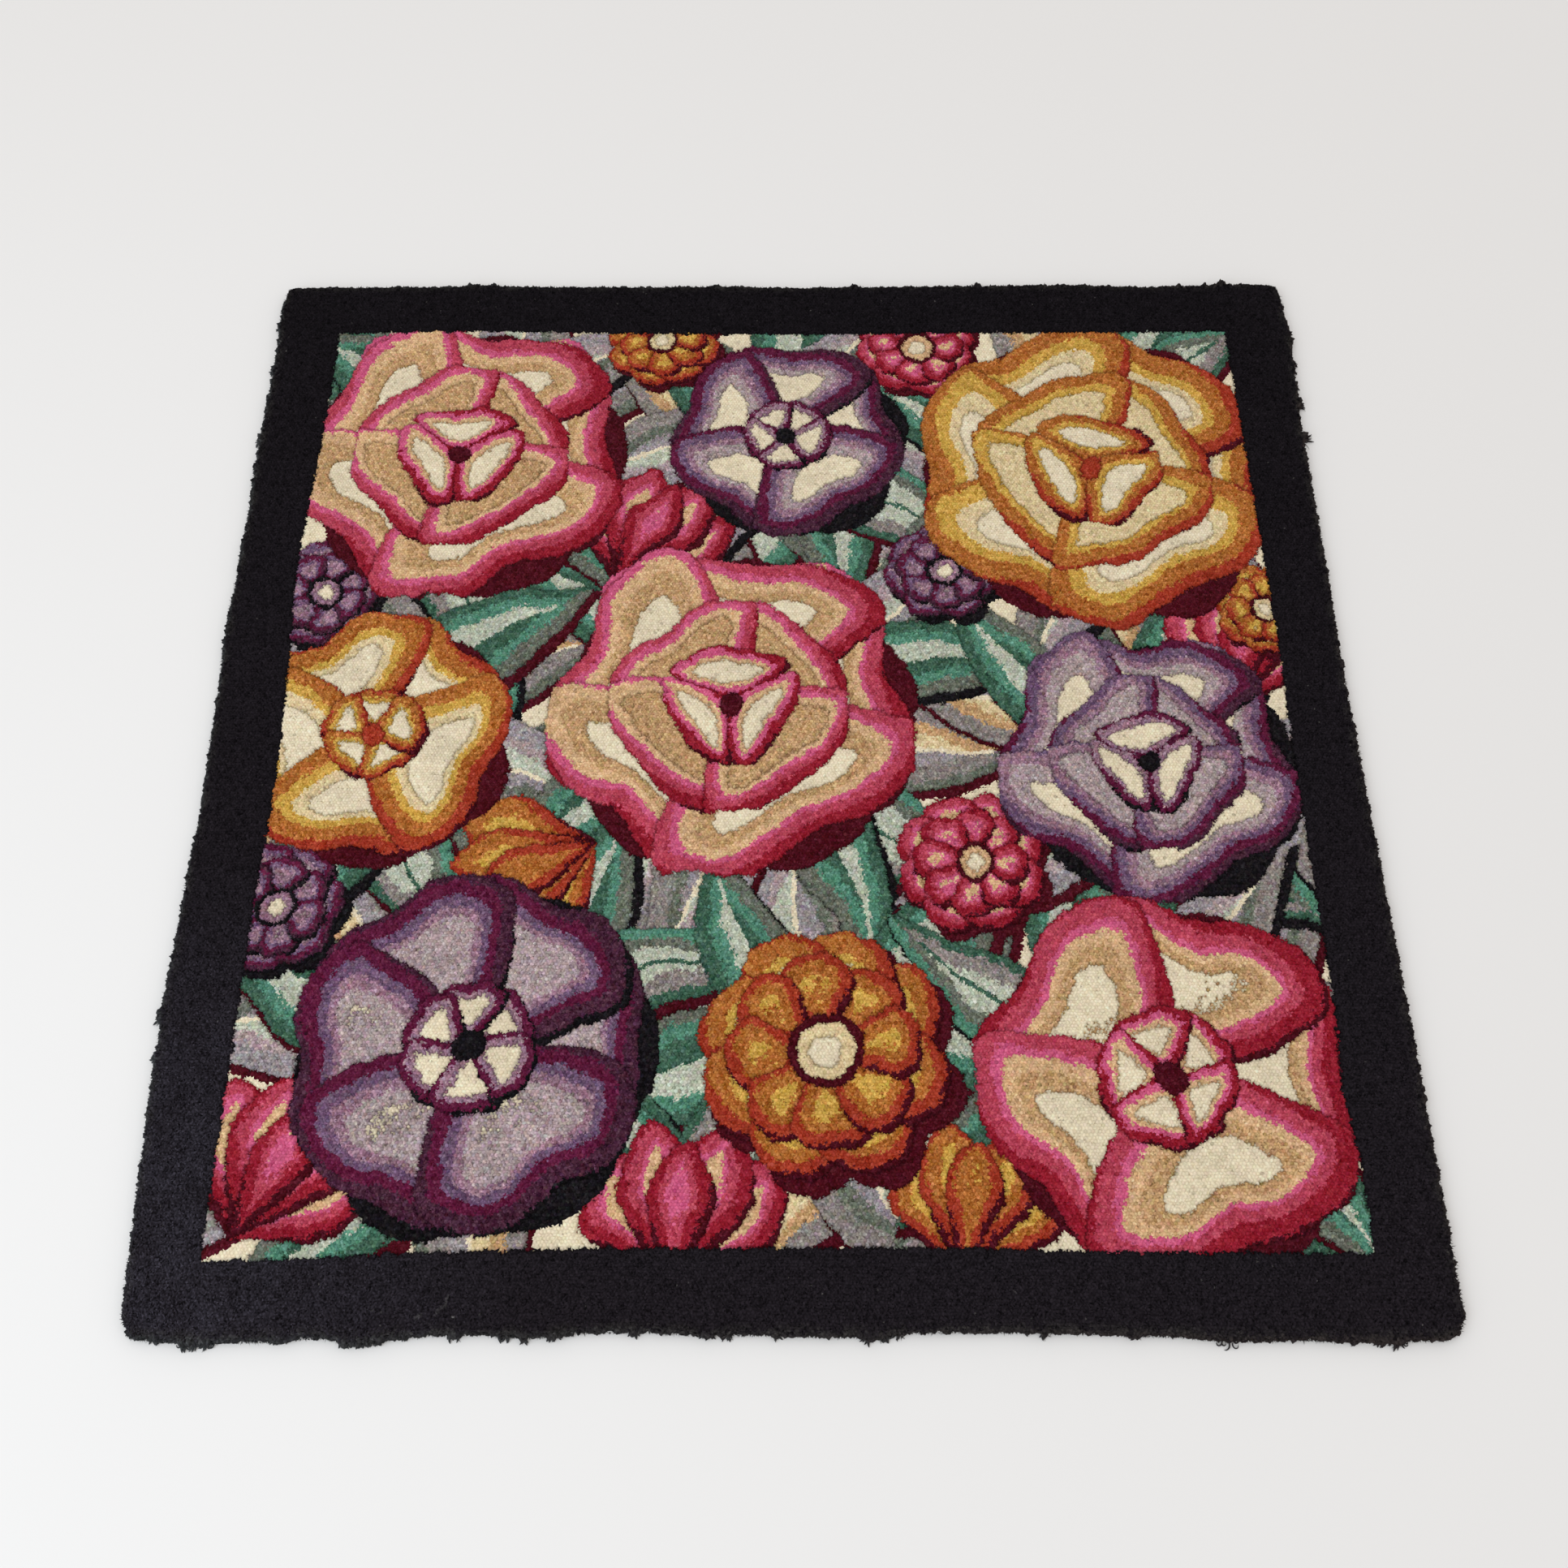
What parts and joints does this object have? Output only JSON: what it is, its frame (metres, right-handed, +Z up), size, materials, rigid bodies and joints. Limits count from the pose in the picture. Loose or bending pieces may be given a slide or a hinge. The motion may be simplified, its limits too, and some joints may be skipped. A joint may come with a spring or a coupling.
{
  "type": "square rug",
  "caption": "Square hand-tufted wool rug with a plain dark border round a dense field of flowers in cut pile, its edge a little worn and frayed.",
  "frame": {"origin": "centre of the rug's box, on the floor under it", "axes": "+Z up through the thickness, +Y towards the far side, +X to the right"},
  "size_m": [1.4108, 1.4094, 0.014],
  "materials": {
    "wool_pile": "matt cut wool pile in many colours with a near-black border"
  },
  "bodies": {
    "root": {"tufted_rug": "wool_pile"}
  },
  "joints": []
}
